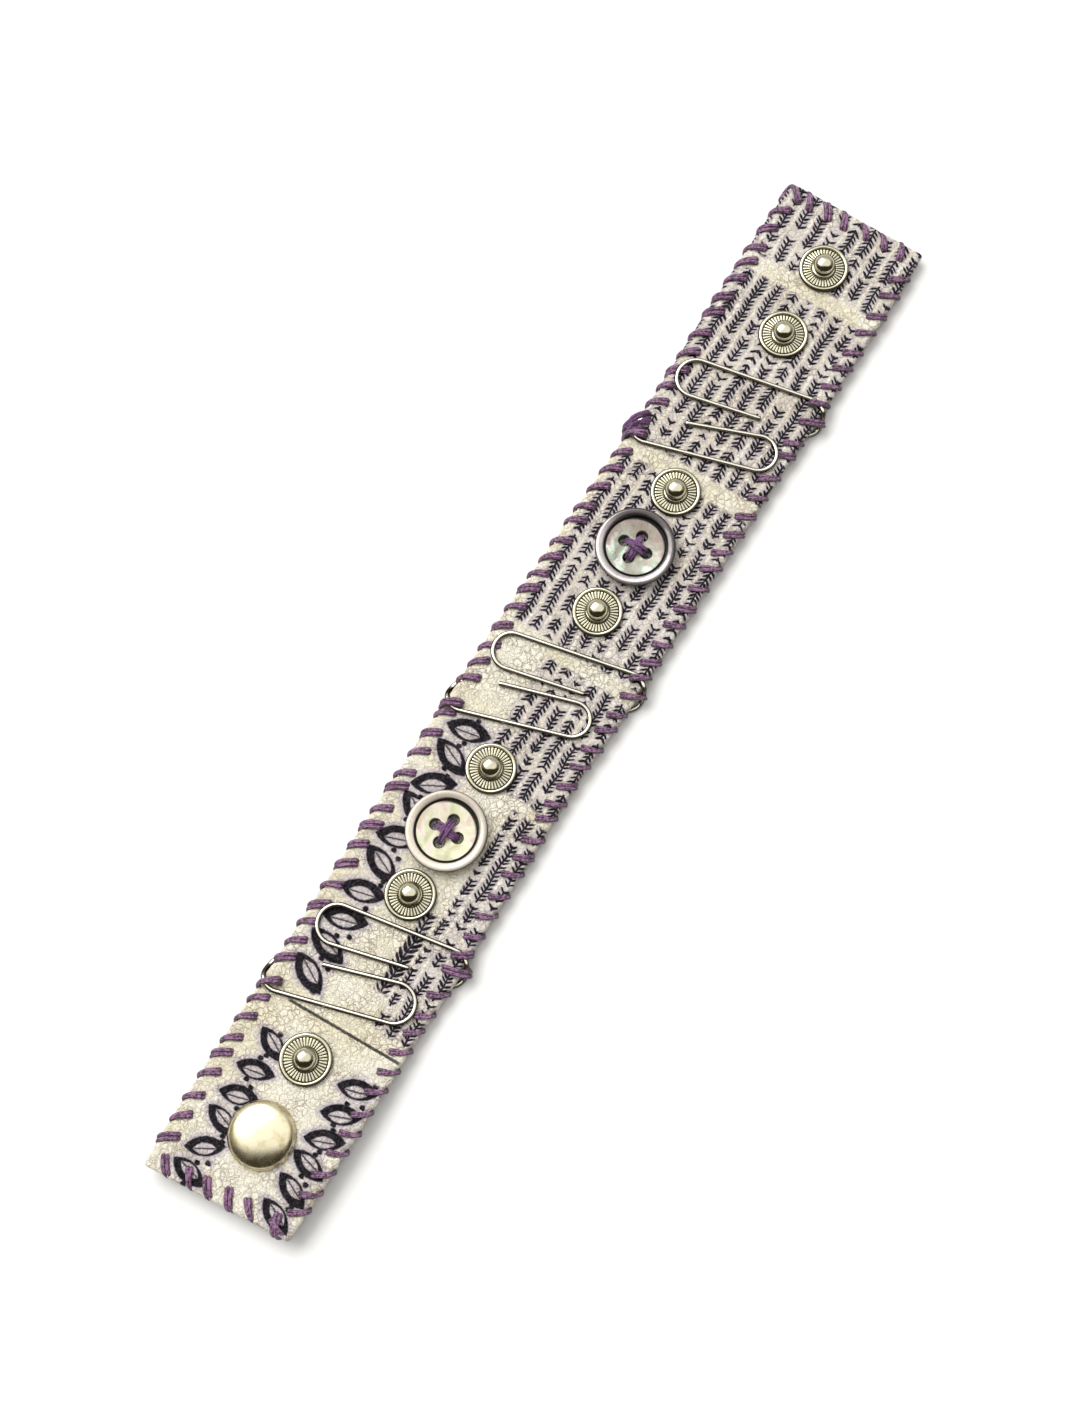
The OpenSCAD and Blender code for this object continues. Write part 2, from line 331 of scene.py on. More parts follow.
def clouds(place, scale, detail, take="Fac", distortion=0.0):
    inputs = {"Vector": place, "Scale": scale, "Detail": detail, "Distortion": distortion}
    return put(place.tree, "ShaderNodeTexNoise", inputs, take)


def stirred(place, scale, detail, amount):
    """Places that are moved about by a cloud, so that what is drawn on them wavers."""
    shift = {0: clouds(place, scale, detail, "Color"), 1: amount, 2: place}
    return put(place.tree, "ShaderNodeVectorMath", shift, operation="MULTIPLY_ADD")


def chance_at(place, take="Value"):
    """A random value that is the same wherever the given number is."""
    return put(place.tree, "ShaderNodeTexWhiteNoise", {"W": place}, take, noise_dimensions="1D")


def painted(tree, column):
    """The values that a mesh carries in one of its named columns."""
    return put(tree, "ShaderNodeAttribute", take="Fac", attribute_name=column)


def bumped(height, strength, distance):
    inputs = {"Height": height, "Strength": strength, "Distance": distance * mm}
    return put(height.tree, "ShaderNodeBump", inputs)


def group_tree(name, kind, inputs, outputs):
    """A node group with its named sockets, given as {kind of value: names}."""
    tree = bpy.data.node_groups.new(name, kind)
    for way, sockets in (("INPUT", inputs), ("OUTPUT", outputs)):
        for value_kind, names in sockets.items():
            for socket in names:
                tree.interface.new_socket(socket, in_out=way, socket_type="NodeSocket" + value_kind)
    entry = tree.nodes.new("NodeGroupInput")
    given = {socket.name: Flow(tree, socket) for socket in entry.outputs if socket.name}
    return tree, given, tree.nodes.new("NodeGroupOutput").inputs


def from_group(tree, group, inputs):
    """Adds a group to a node tree. What it puts out is returned by name."""
    node = add_node(tree, "ShaderNodeGroup", inputs, node_tree=group)
    return {socket.name: Flow(tree, socket) for socket in node.outputs}


def linear(*levels):
    """A colour given in the everyday 0 to 255 levels, as Blender's linear values."""
    parts = [level / 255 for level in levels]
    return tuple(((p + 0.055) / 1.055) ** 2.4 if p > 0.04045 else p / 12.92 for p in parts) + (1.0,)


def new_material(name, **values):
    """A material with its Principled shader, and the shader's plain sockets set."""
    material = bpy.data.materials.new(name)
    material.use_nodes = True
    shader = material.node_tree.nodes["Principled BSDF"]
    for socket, value in values.items():
        shader.inputs[socket.replace("_", " ")].default_value = value
    return material, material.node_tree, shader.inputs


def object_mm(tree, middle=(0.0, 0.0, 0.0)):
    """Object coordinates in millimetres, counted from a middle that is given in millimetres."""
    return put(tree, "ShaderNodeMapping", {
        "Vector": put(tree, "ShaderNodeTexCoord", take="Object"), "Location": [-m for m in middle],
        "Scale": (1 / mm, 1 / mm, 1 / mm),
    })


def pebble_grain():
    """Grain of soft leather: rounded pebbles between fine creases, over slow wrinkles."""
    tree, given, result = group_tree(
        "pebble_grain", "ShaderNodeTree",
        {"Vector": ["Vector"], "Float": ["Pebble size", "Wrinkle"]}, {"Float": ["Height", "Crease"]},
    )
    size = joined(tree, given["Pebble size"], given["Pebble size"], given["Pebble size"])
    scaled = put(tree, "ShaderNodeVectorMath", {0: given["Vector"], 1: size}, operation="DIVIDE")
    bent = stirred(scaled, 1.1, 4.0, (1.5, 1.5, 1.5))
    cells, fine = [
        put(
            tree, "ShaderNodeTexVoronoi", {"Vector": bent, "Scale": scale}, "Distance",
            feature="DISTANCE_TO_EDGE",
        )
        for scale in (1.0, 2.6)
    ]
    waves = clouds(scaled, 0.22, 4.0)
    height = ramp(cells, 0.0, 0.16) * 0.45
    height = ramp(fine, 0.0, 0.1) * 0.22 + height
    height = clouds(scaled, 7.0, 4.0) * 0.35 + height
    crease = 1.0 - ramp(cells, 0.0, 0.09)
    feed(result, Height=height + waves * given["Wrinkle"], Crease=crease * ramp(waves, 0.42, 0.62))
    return tree


def print_rows():
    """Rows of small printed ears: pairs of slanting seeds on a stem, with gaps between the ears."""
    tree, given, result = group_tree(
        "print_rows", "ShaderNodeTree",
        {"Float": [
            "Along", "Across", "Row pitch", "Seed width", "Seed height", "Spacing", "Gaps", "Variation",
        ]},
        {"Float": ["Ink", "Haze"]},
    )
    rows = given["Across"] / given["Row pitch"]
    lane = rows.step("FLOOR") + given["Variation"]
    level = (rows.step("FRACT") - 0.5) * given["Row pitch"]
    drift = (given["Along"] * 0.9 + lane).step("SINE")
    from_stem = abs(drift * 0.14 + level)
    along = chance_at(lane) * 40.0 + given["Along"] / given["Spacing"]
    lean = chance_at(lane + 0.37).step("GREATER_THAN", 0.55) * 1.5 - 0.75
    along = from_stem * lean + along
    place = (along.step("FRACT") - 0.5) * given["Spacing"]
    key = joined(tree, along.step("FLOOR"), lane, 0.0)
    chance = add_node(tree, "ShaderNodeTexWhiteNoise", {"Vector": key}, noise_dimensions="2D").outputs
    red, green, blue = Flow(tree, chance["Color"]).parts()
    shown = Flow(tree, chance["Value"]).step("GREATER_THAN", given["Gaps"])
    tall = given["Seed height"] * (red * 0.6 + 0.75)
    wide = given["Seed width"] * (blue * 0.5 + 0.8)
    side = (place - (green * 0.24 - 0.12)) / wide
    rise = (from_stem - tall * 0.56) / tall * 1.9
    mark = smallest(rise * rise + side * side, from_stem * 6.0)
    haze = ramp(from_stem, 1.0, 1.75, 1.0, 0.0) * (shown * 0.45 + 0.55)
    feed(result, Ink=ramp(mark, 0.7, 1.7, 1.0, 0.0) * shown, Haze=haze)
    return tree


def print_leaves():
    """One row of large leaves drawn with a thick and a thin side, with berries between them."""
    tree, given, result = group_tree(
        "print_leaves", "ShaderNodeTree",
        {"Float": ["Along", "Across", "Pitch", "Half height", "Variation"]}, {"Float": ["Ink", "Haze"]},
    )
    steps = given["Along"] / given["Pitch"]
    cell = steps.step("FLOOR") + given["Variation"]
    x, y = (steps.step("FRACT") - 0.5) * given["Pitch"], given["Across"]
    red, green, blue = chance_at(cell, "Color").parts()
    left_or_right = red.step("GREATER_THAN", 0.5) * 2.0 - 1.0
    slant = (green * 0.35 + 0.2) * left_or_right
    spun = put(tree, "ShaderNodeVectorRotate", {
        "Vector": joined(tree, x, y, 0.0), "Angle": slant,
    }, rotation_type="Z_AXIS")
    leaf_x, leaf_y, _ = spun.parts()
    leaf_x = leaf_x * left_or_right

    def lens(across, up, size):
        """Distance outside a pointed leaf shape, whose height is size times the row's half height."""
        tall = given["Half height"] * size
        sink = tall * 0.82
        return largest(length_of(across - sink, up), length_of(across + sink, up)) - tall * 1.293

    vein_x = leaf_x - 0.42
    opening = lens(vein_x, leaf_y - 0.1, 0.55)
    blade = largest(lens(leaf_x, leaf_y, 1.0), opening * -1.0)
    vein = largest(abs(vein_x) - 0.13, opening)
    berry = length_of(abs(x) - given["Pitch"] * 0.42, y - (blue * 3.4 - 2.6)) - 0.55
    line = smallest(blade, vein, berry)
    feed(result, Ink=ramp(line, -0.14, 0.16, 1.0, 0.0), Haze=ramp(line, 0.1, 1.4, 1.0, 0.0))
    return tree


def leather_material():
    """Pale printed leather: ink over a lilac haze on the grain side, plain suede on the back."""
    material, tree, shader = new_material("printed_leather", Specular_IOR_Level=0.14)
    place = object_mm(tree)
    x, y, _ = stirred(place, 1.7, 2.0, (0.3, 0.3, 0.0)).parts()
    inks, hazes = [], []

    def lay(group, x_from, x_to, y_from, y_to, values):
        """Prints one of the two patterns inside an area."""
        marks = from_group(tree, group, {"Along": x, **values})
        area = inside(x, x_from, x_to, 0.5) * inside(y, y_from, y_to, 0.3)
        inks.append(marks["Ink"] * area)
        hazes.append(marks["Haze"] * area)

    # Rows of leaves: [x from, x to, middle y, half height, pitch, variation]
    leaves = print_leaves()
    for x_from, x_to, middle, half, pitch, variation in (
        (-113, -79.5, 6.8, 3.8, 5.3, 3.0),
        (-113, -78, -10.6, 3.9, 5.2, 14.0),
        (-71, -11.8, 8.6, 4.5, 5.92, 21.0),
    ):
        lay(leaves, x_from, x_to, middle - half - 1, middle + half + 1, {
            "Across": y - middle, "Pitch": pitch, "Half height": half, "Variation": variation,
        })
    # Rows of seeds: [x from, x to, y from, y to] and the values that are named here
    seeds = print_rows()
    names = ("Row pitch", "Seed width", "Seed height", "Spacing", "Gaps", "Variation")
    for x_from, x_to, y_from, y_to, *values in (
        (-64, -47, -6.2, -2.6, 3.6, 0.4, 1.3, 1.25, 0.04, 5.0),
        (-70, -23, -14.8, -6.4, 3.1, 0.24, 0.84, 0.88, 0.23, 9.0),
        (-21, 5, -14.6, 4.4, 3.1, 0.24, 0.84, 0.88, 0.22, 31.0),
        (8, 47, -15, 13.4, 3.2, 0.24, 0.84, 0.9, 0.22, 52.0),
        (51, 92, -16, 15.5, 3.3, 0.25, 0.88, 0.92, 0.18, 77.0),
        (95.5, 113, -16, 15.5, 3.3, 0.25, 0.88, 0.92, 0.22, 96.0),
    ):
        lay(seeds, x_from, x_to, y_from, y_to, {"Across": y - y_from, **dict(zip(names, values))})
    # A single fine rule crosses the strap beside the first clip
    rule = abs(y * 0.05 + x + 73.5)
    inks.append(ramp(rule, 0.16, 0.42, 0.92, 0.0) * inside(y, -14.5, 9, 0.5))

    grain = from_group(tree, pebble_grain(), {"Vector": place, "Pebble size": 1.15, "Wrinkle": 1.6})
    speckle = clouds(place, 2.6, 5.0)
    cream = mixed(ramp(clouds(place, 0.11, 5.0), 0.35, 0.65), linear(243, 235, 211), linear(253, 248, 234))
    cream = mixed(ramp(speckle, 0.5, 0.72), cream, linear(218, 210, 182))
    lilac = mixed(ramp(speckle, 0.3, 0.7), linear(216, 207, 212), linear(190, 179, 191))
    colour = mixed(largest(*hazes) * ramp(speckle, 0.3, 0.7, 0.72, 1.0), cream, lilac)
    colour = mixed(grain["Crease"] * 0.72, colour, linear(134, 116, 100))
    ink_colour = mixed(speckle, linear(10, 8, 15), linear(24, 20, 32))
    colour = mixed(largest(*inks) * ramp(speckle, 0.4, 0.85, 1.0, 0.88), colour, ink_colour)
    suede = mixed(speckle, linear(204, 192, 178), linear(180, 166, 156))
    feed(
        shader, Base_Color=mixed(painted(tree, "printed"), suede, colour),
        Roughness=ramp(grain["Height"], 0.2, 1.3, 0.72, 0.5), Normal=bumped(grain["Height"], 0.9, 0.38),
    )
    return material


def placed(name, data):
    """A new object in the scene, with the mesh, light or camera that is given."""
    thing = bpy.data.objects.new(name, data)
    bpy.context.scene.collection.objects.link(thing)
    return thing


def piece_from(mesh, name, material, slot, *nodes):
    """Puts a finished mesh in the scene, in place of the solids that it stands for."""
    piece = placed(name, mesh)
    piece.data.materials.clear()
    piece.data.materials.append(material)
    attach(piece, "root")
    if nodes:
        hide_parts(*nodes)


piece_from(strap_mesh(), "strap_leather", leather_material(), "leather", "strap")

# Whip stitches
# Doubled waxed purple thread sewn over all four edges: it comes up through a hole about 3 mm in,
# crosses the face at a lean, wraps the edge and goes back along the underside to the next hole.

strand_d, strand_gap, knot_strand_d, strand_sides = 0.84, 0.76, 0.62, 10
size_spread, lean_spread, sewing_seed = 0.06, 0.11, 5
# Share of the stitches whose two strands change sides. In the others they lie side by side
crossed_share = 0.68
# How each kind of stitch is stretched: [reach, rise], and how far it is moved [outwards, up]
stretch = {plain: (1.0, 1.0), over_wire: (1.0, 1.38), round_loop: (1.34, 1.12)}
moved = {plain: (0.0, 0.0), over_wire: (0.0, 0.57), round_loop: (1.05, 0.2)}
# The stitches of the lower edge are this much narrower along it
lower_lean = 0.82


def strand_curve(name, routes):
    """A curve with one smooth spline along each route of points given in millimetres."""
    curve = bpy.data.curves.new(name, "CURVE")
    curve.dimensions = "3D"
    for route in routes:
        spline = curve.splines.new("NURBS")
        spline.points.add(len(route) - 1)
        for point, place in zip(spline.points, route):
            point.co = (*(value * mm for value in place), 1.0)
        spline.order_u = 3
        spline.use_endpoint_u = True
        spline.resolution_u = 3
    return bpy.data.objects.new(name, curve)


def whip_route(aside, crossed):
    """One strand's way round the edge, on its own side of the middle or changing sides halfway."""
    half_t = leather_t / 2
    # Stations are [along the edge, outwards, up, how far aside], from the hole on the face to the back
    stations = (
        (1.02, -hole_inset - 0.15, half_t - 0.7, 0.9), (1.0, -hole_inset - 0.02, half_t + 0.02, 0.95),
        (0.8, -2.6, half_t + 0.24, 1.0), (0.35, -1.75, half_t + 0.24, 1.0), (-0.1, -0.95, half_t + 0.2, 1.0),
        (-0.7, -0.25, half_t - 0.05, 1.0), (-1.25, 0.14, 0.1, 1.0), (-1.55, -0.02, -half_t + 0.05, 1.0),
        (-1.9, -0.9, -half_t - 0.22, 1.0), (-2.15, -1.9, -half_t - 0.26, 1.0),
        (-2.3, -2.6, -half_t - 0.2, 0.8), (-2.35, -hole_inset, -half_t + 0.4, 0.3),
    )
    route = []
    for step, (x, y, z, spread) in enumerate(stations):
        change = math.cos(math.pi * step / (len(stations) - 1)) if crossed else 1
        shift = aside * spread * change
        route.append((x + shift, y + 0.35 * aside * spread * change, z + 0.1 * (1 - abs(change))))
    return route


def stitches_tree():
    """Sews one of two stitches at each point, turned and stretched by the values that the point carries."""
    tree, given, result = group_tree(
        "whip_stitches", "GeometryNodeTree",
        {
            "Geometry": ["Places"], "Object": ["Neat stitch", "Crossed stitch"],
            "Float": ["Strand diameter", "Size spread", "Lean spread"],
            "Int": ["Seed"], "Material": ["Thread"],
        },
        {"Geometry": ["Stitches"]},
    )

    def marked(shape, name, value):
        return put(tree, "GeometryNodeStoreNamedAttribute", {
            "Geometry": shape, "Name": name, "Value": value,
        }, data_type="FLOAT", domain="POINT")

    def carried(name):
        return put(tree, "GeometryNodeInputNamedAttribute", {"Name": name}, data_type="FLOAT")

    def chance(low, high, offset):
        inputs = {"Seed": given["Seed"] + float(offset), 2: low, 3: high}
        return put(tree, "FunctionNodeRandomValue", inputs, 1, data_type="FLOAT")

    ring = {"Resolution": strand_sides, "Radius": given["Strand diameter"] / 2.0}
    ring = put(tree, "GeometryNodeCurvePrimitiveCircle", ring, mode="RADIUS")
    ring = marked(ring, "around", put(tree, "GeometryNodeSplineParameter", take="Factor"))
    kinds = add_node(tree, "GeometryNodeJoinGeometry")
    # The shape that is linked last comes first in the join, so the crossed stitch has the number 0
    for socket in ("Neat stitch", "Crossed stitch"):
        strands = put(tree, "GeometryNodeObjectInfo", {"Object": given[socket]}, "Geometry")
        strands = marked(strands, "along", put(tree, "GeometryNodeSplineParameter", take="Length"))
        tube = put(tree, "GeometryNodeCurveToMesh", {
            "Curve": strands, "Profile Curve": ring, "Fill Caps": True,
        })
        kind = put(tree, "GeometryNodeGeometryToInstance", {0: tube})
        tree.links.new(kind.socket, kinds.inputs[0])

    heading = carried("heading") + chance(given["Lean spread"] * -1.0, given["Lean spread"], 0)
    size = chance(1.0 - given["Size spread"], given["Size spread"] + 1.0, 1)
    turned = put(tree, "FunctionNodeEulerToRotation", {0: joined(tree, 0.0, carried("tilt"), heading)})
    sewn = put(tree, "GeometryNodeInstanceOnPoints", {
        "Points": given["Places"], "Instance": Flow(tree, kinds.outputs[0]), "Pick Instance": True,
        "Instance Index": chance(0.0, 1.0, 2).step("GREATER_THAN", crossed_share),
        "Rotation": turned,
        "Scale": joined(tree, size * carried("lean"), size * carried("reach"), size * carried("rise")),
    })
    solid = put(tree, "GeometryNodeRealizeInstances", {"Geometry": sewn})
    threaded = put(tree, "GeometryNodeSetMaterial", {"Geometry": solid, "Material": given["Thread"]})
    feed(result, Stitches=threaded)
    return tree


def facing_away(tree):
    """0 where a face looks at the eye, and 1 where it is seen edge-on."""
    return put(tree, "ShaderNodeLayerWeight", {"Blend": 0.5}, "Facing")


def thread_material(name, low, high):
    """Waxed thread: fine fibres that wind round each strand, lighter where they are worn, and painted shade
    on the sides that are seen edge-on.
    """
    material, tree, shader = new_material(name, Specular_IOR_Level=0.45, Sheen_Weight=0.15)
    place = object_mm(tree)
    winds_per_metre, fibres = 1400.0, 6
    lane = clouds(place, 2.2, 3.0)
    wind = painted(tree, "along") * winds_per_metre + lane * 4.0
    wind = painted(tree, "around") * (2 * math.pi * fibres) + wind
    fibre = wind.step("SINE") * 0.5 + 0.5
    fuzz = clouds(place, 9.0, 3.0)
    tone = fibre * 0.34 + ramp(lane, 0.4, 0.6, 0.0, 0.6)
    # Painted shade: the strands darken towards the low colour where they are seen edge-on
    side = ramp(facing_away(tree), 0.25, 0.72, 0.0, 0.85)
    feed(
        shader, Base_Color=mixed(side, mixed(tone, low, high), low),
        Roughness=ramp(fuzz, 0.3, 0.7, 0.42, 0.62), Normal=bumped(fibre * 0.8 + fuzz, 0.7, 0.1),
    )
    return material


def solved(body, name):
    """The plain, smooth mesh that a body's modifiers or curve settings give. The body is removed."""
    bpy.context.scene.collection.objects.link(body)
    bpy.context.view_layer.update()
    mesh = bpy.data.meshes.new_from_object(body.evaluated_get(bpy.context.evaluated_depsgraph_get()))
    mesh.name = name
    mesh.polygons.foreach_set("use_smooth", [True] * len(mesh.polygons))
    body.modifiers.clear()
    bpy.data.objects.remove(body)
    return mesh


def grown(body, name, tree, values):
    """Runs a node tree with the given inputs on a body and returns the result as a plain mesh."""
    modifier = body.modifiers.new(tree.name, "NODES")
    modifier.node_group = tree
    for socket in tree.interface.items_tree:
        if socket.in_out == "INPUT" and socket.name in values:
            modifier[socket.identifier] = values[socket.name]
    return solved(body, name)


def stitch_points():
    points = []
    for x, y, heading, _, kind in stitch_places:
        out, lift = moved[kind]
        middle = float(face_height(x)) - leather_t / 2 + lift
        points.append(((x - out * math.sin(heading)) * mm, (y + out * math.cos(heading)) * mm, middle * mm))
    _, _, headings, tilts, kinds = zip(*stitch_places)
    mesh = mesh_of(
        "stitch_places", points, [], heading=headings, tilt=tilts,
        reach=[stretch[kind][0] for kind in kinds], rise=[stretch[kind][1] for kind in kinds],
        lean=[lower_lean if heading > math.pi * 0.75 else 1.0 for heading in headings],
    )
    return bpy.data.objects.new("stitch_places", mesh)


def knot_routes():
    """Strands of the tangle sewn over the third clip's hook, from the edge slantwise onto the face."""
    face = float(face_height(knot_x))
    below = face - leather_t
    # Each tie is [x and y at the edge, x and y halfway, x and y on the face]
    ties = (
        (49.9, 14.6, 52.6, 13.9, 55.4, 12.5), (50.6, 15.1, 53.2, 14.6, 55.9, 13.0),
        (50.2, 14.2, 52.2, 14.5, 54.9, 12.1), (51.6, 15.3, 53.7, 14.2, 55.2, 13.5),
        (52.6, 15.2, 52.9, 13.7, 54.2, 12.0), (50.9, 14.9, 51.7, 13.3, 52.9, 12.4),
        (53.5, 15.1, 54.4, 14.3, 56.1, 12.9), (51.3, 15.4, 53.5, 15.0, 55.7, 13.9),
        (52.3, 15.2, 54.1, 14.8, 56.3, 13.4),
    )
    routes = []
    for number, (x1, y1, x2, y2, x3, y3) in enumerate(ties):
        lift = 0.95 + 0.17 * (number % 4)
        routes.append((
            (x1 - 0.5, y1 - 1.4, below - 0.25), (x1 - 0.3, y1 - 0.1, below - 0.2),
            (x1 - 0.1, y1 + 0.45, face - 0.9), (x1, y1 + 0.35, face + 0.35 * lift),
            ((x1 + x2) / 2, (y1 + y2) / 2, face + lift), (x2, y2, face + lift + 0.15),
            ((x2 + x3) / 2, (y2 + y3) / 2, face + lift * 0.8), (x3, y3, face + 0.25),
            (x3 + 0.1, y3 - 0.15, face - 0.5),
        ))
    return routes


def tube_mesh(name, routes, diameter):
    """A plain mesh of round strands, one along every route."""
    strands = strand_curve(name, routes)
    strands.data.bevel_depth = diameter / 2 * mm
    strands.data.bevel_resolution = 3
    strands.data.use_fill_caps = True
    return solved(strands, name)


thread = thread_material("waxed_thread", linear(22, 7, 25), linear(168, 120, 163))
tight_thread = thread_material("tight_thread", linear(15, 4, 18), linear(128, 82, 136))
asides = (strand_gap / 2, -strand_gap / 2)
neat = strand_curve("neat_stitch", [whip_route(aside, False) for aside in asides])
crossed = strand_curve("crossed_stitch", [whip_route(aside, True) for aside in asides])
whip_mesh = grown(stitch_points(), "whip_stitches", stitches_tree(), {
    "Neat stitch": neat, "Crossed stitch": crossed, "Strand diameter": strand_d * mm,
    "Size spread": size_spread, "Lean spread": lean_spread, "Seed": sewing_seed, "Thread": thread,
})
for stitch in (neat, crossed):
    bpy.data.objects.remove(stitch)
piece_from(whip_mesh, "whip_stitches", thread, "thread")
piece_from(tube_mesh("thread_knot", knot_routes(), knot_strand_d), "thread_knot", tight_thread, "thread")

# Press studs
# Seven stamped nickel studs along the middle: a rolled rim, a fluted plate and the ball that snaps
# into the socket. Each is clinched on the post of a plain back that shows under the strap.

rib_count = 38
rib_inner, rib_outer, rib_height = 2.34, 3.98, 0.2
# Half width and foot of a rib at the ball, and how much they gain and lose on the way to the rim
rib_half, rib_foot, rib_widening, rib_fall = 0.125, 0.52, 0.095, 0.06
stud_ball_r = 2.12


def lathed(name, profile, steps=96):
    """A turned solid from a profile of [radius, height, tarnish and painted shade] points that starts and
    ends on the axis.
    """
    profile = [(*point, 0.0)[:3] for point in profile]
    ring = profile[1:-1]
    points = [(0.0, 0.0, profile[0][1] * mm), (0.0, 0.0, profile[-1][1] * mm)]
    for r, z, _ in ring:
        for step in range(steps):
            turn = 2 * math.pi * step / steps
            points.append((r * math.cos(turn) * mm, r * math.sin(turn) * mm, z * mm))
    faces = []
    last = 2 + (len(ring) - 1) * steps
    for step in range(steps):
        after = (step + 1) % steps
        faces.append((0, 2 + after, 2 + step))
        faces.append((1, last + step, last + after))
        for a in range(2, last, steps):
            faces.append((a + step, a + after, a + steps + after, a + steps + step))
    patina = [profile[0][2], profile[-1][2]] + [shade for _, _, shade in ring for _ in range(steps)]
    return mesh_of(name, points, faces, patina=patina)


def arc(centre_r, centre_z, radius_r, radius_z, start, end, steps):
    """Points of an elliptical arc of a profile, from one angle to another in degrees."""
    turns = np.radians(np.linspace(start, end, steps))
    return [(centre_r + radius_r * math.cos(t), centre_z + radius_z * math.sin(t)) for t in turns]


def seated(mesh, x, y, drop=0.0):
    """Moves a mesh from its own axis to its place on the leather's face, tilted with it."""
    tilt = Matrix.Rotation(face_tilt(x), 4, "Y")
    place = Matrix.Translation((x * mm, y * mm, float(face_height(x)) * mm))
    mesh.transform(place @ tilt @ Matrix.Translation((0.0, 0.0, drop * mm)))
    return mesh


def middle_of(node):
    low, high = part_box(node)
    return (low.x + high.x) / 2 / mm, (low.y + high.y) / 2 / mm


def rib_mesh():
    """One flute of the plate, narrow at the ball and broad at the rim, with a rounded back."""
    points, patina = [], []
    # Each point of the cross section is [across, up, painted shade with some tarnish], darkest at the feet
    # between the ribs
    cross_section = (
        (1.0, 0.0, 1.0), (0.92, 0.8, 0.25), (0.78, 1.0, 0.0), (0.58, 1.0, 0.0),
        (-0.58, 1.0, 0.0), (-0.78, 1.0, 0.0), (-0.92, 0.8, 0.25), (-1.0, 0.0, 1.0),
    )
    sides = len(cross_section)
    stations = (
        (0.0, 0.1), (0.05, 0.9), (0.1, 1.0), (0.16, 1.0), (0.88, 1.0), (0.93, 1.0), (0.97, 0.9), (1.0, 0.1),
    )
    for share, height in stations:
        r = rib_inner + (rib_outer - rib_inner) * share
        half = rib_half + rib_widening * share
        base = rib_foot - rib_fall * share
        for side, rise, shade in cross_section:
            points.append((r * mm, half * side * mm, (base + rib_height * height * rise) * mm))
            patina.append(shade)
    faces = [
        (a, a + sides, a + sides + 1, a + 1)
        for ring in range(len(stations) - 1) for a in range(ring * sides, ring * sides + sides - 1)
    ]
    faces.append(tuple(range(sides)))
    faces.append(tuple(reversed(range(len(points) - sides, len(points)))))
    return bpy.data.objects.new("rib", mesh_of("rib", points, faces, patina=patina))


def ribs_tree():
    """Sets a ring of ribs round the axis of the turned body that it is given."""
    tree, given, result = group_tree(
        "plate_ribs", "GeometryNodeTree",
        {"Geometry": ["Body"], "Object": ["Rib"], "Int": ["Count"], "Material": ["Metal"]},
        {"Geometry": ["Stud"]},
    )
    share = put(tree, "GeometryNodeInputIndex") / given["Count"]
    turn = joined(tree, 0.0, 0.0, share * (2 * math.pi))
    one_rib = put(tree, "GeometryNodeObjectInfo", {"Object": given["Rib"], "As Instance": True}, "Geometry")
    ribs = put(tree, "GeometryNodeInstanceOnPoints", {
        "Points": put(tree, "GeometryNodePoints", {"Count": given["Count"]}),
        "Instance": one_rib,
        "Rotation": put(tree, "FunctionNodeEulerToRotation", {0: turn}),
    })
    both = add_node(tree, "GeometryNodeJoinGeometry")
    for shape in (given["Body"], put(tree, "GeometryNodeRealizeInstances", {"Geometry": ribs})):
        tree.links.new(shape.socket, both.inputs[0])
    feed(result, Stud=put(tree, "GeometryNodeSetMaterial", {
        "Geometry": Flow(tree, both.outputs[0]), "Material": given["Metal"],
    }))
    return tree


def metal_wear():
    """Fine scratches and handling marks on metal, as a roughness change, a tarnish mask and a height."""
    tree, given, result = group_tree(
        "metal_wear", "ShaderNodeTree",
        {"Vector": ["Vector"], "Float": ["Amount"]}, {"Float": ["Roughness", "Tarnish", "Height"]},
    )
    long_way = put(tree, "ShaderNodeMapping", {
        "Vector": given["Vector"], "Rotation": (0.3, 0.2, 0.9), "Scale": (0.6, 14.0, 6.0),
    })
    scratch, cloud = clouds(long_way, 1.0, 3.0), clouds(given["Vector"], 0.7, 5.0)
    rough = scratch * 0.08 + ramp(cloud, 0.35, 0.75) * 0.12
    amount = given["Amount"]
    feed(result, Roughness=rough * amount, Tarnish=ramp(cloud, 0.45, 0.8) * amount, Height=scratch * amount)
    return tree


wear_group = metal_wear()


def painted_side_shade(tree, low, high, darkest):
    """Painted shade on a side: only where the face is steep and is also seen almost edge-on."""
    _, _, up = put(tree, "ShaderNodeTexCoord", take="Normal").parts()
    return ramp(smallest(facing_away(tree), 1.0 - abs(up)), low, high, 0.0, darkest)


def metal_material(name, bright, tarnished, roughness, wear, steep):
    """Bare metal that dulls in clouds, with fine scratches and painted shade. Steep is [low, high, darkest]
    for the shade painted on its sides.
    """
    material, tree, shader = new_material(
        name, Metallic=1.0, Roughness=roughness, Specular_Tint=linear(150, 144, 128),
    )
    marks = from_group(tree, wear_group, {"Vector": object_mm(tree), "Amount": wear})
    patina = painted(tree, "patina")
    colour = mixed(marks["Tarnish"], bright, tarnished)
    # Painted shade with some tarnish: the darkened hollows and the steep sides seen edge-on are mixed
    # towards a dark brown
    shade_and_tarnish_mix = largest(patina * 0.9, painted_side_shade(tree, *steep))
    feed(
        shader, Base_Color=mixed(shade_and_tarnish_mix, colour, linear(44, 38, 28)),
        Roughness=patina * 0.3 + (marks["Roughness"] + roughness),
        Normal=bumped(marks["Height"], 0.25, 0.02),
    )
    return material


